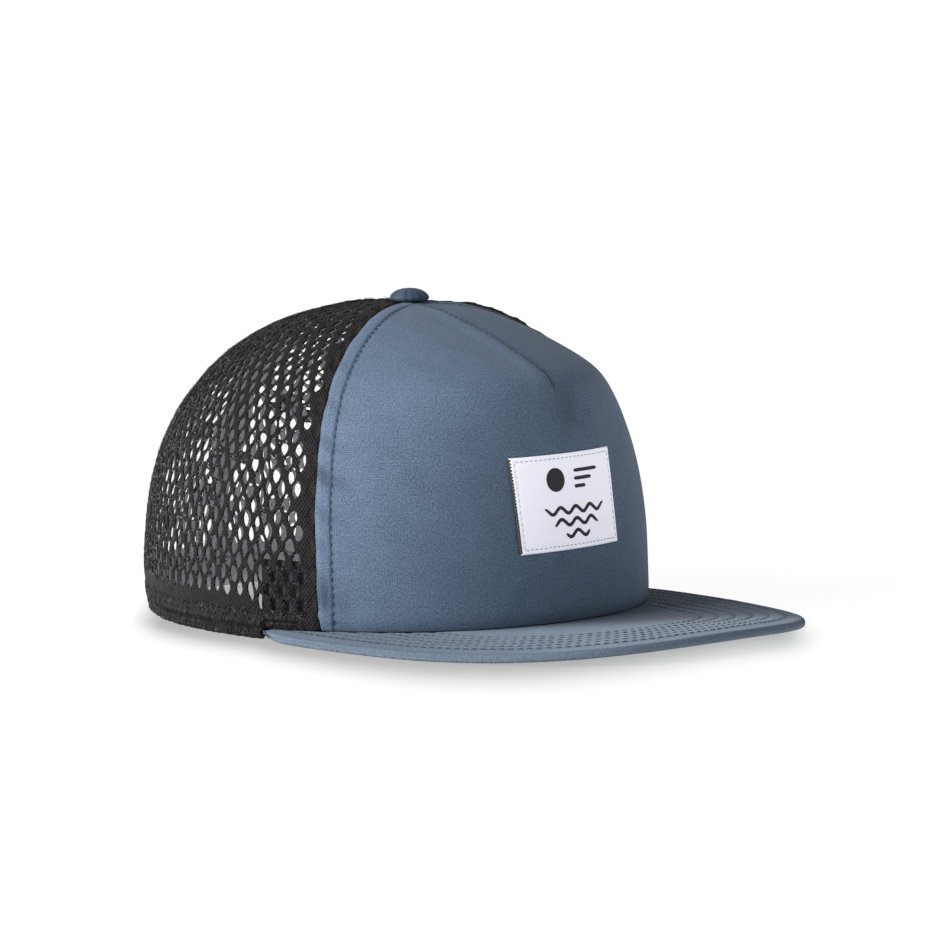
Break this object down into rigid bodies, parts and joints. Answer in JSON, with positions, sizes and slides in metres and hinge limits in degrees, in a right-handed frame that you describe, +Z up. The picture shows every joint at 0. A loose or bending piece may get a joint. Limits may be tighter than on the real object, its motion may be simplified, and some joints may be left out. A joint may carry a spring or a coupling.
{
  "type": "mesh cap",
  "caption": "Cap with a smooth cloth front, a see-through net back, a flat stitched brim and a plain label, open below for the head.",
  "frame": {"origin": "middle of the base of the whole cap, brim included", "axes": "+Z up, -Y the way the wearer looks and the brim points, +X the wearer's left"},
  "size_m": [0.1816, 0.2728, 0.1189],
  "materials": {
    "blue_cloth": "matte woven cloth",
    "black_net": "matte knitted net",
    "dark_cloth": "matte woven band",
    "white_cloth": "satin woven label"
  },
  "bodies": {
    "root": {"front_panel": "blue_cloth", "mesh_right": "black_net", "mesh_left": "black_net", "button": "blue_cloth", "label": "white_cloth", "brim": "blue_cloth", "hem": "black_net", "sweatband": "dark_cloth"}
  },
  "joints": []
}
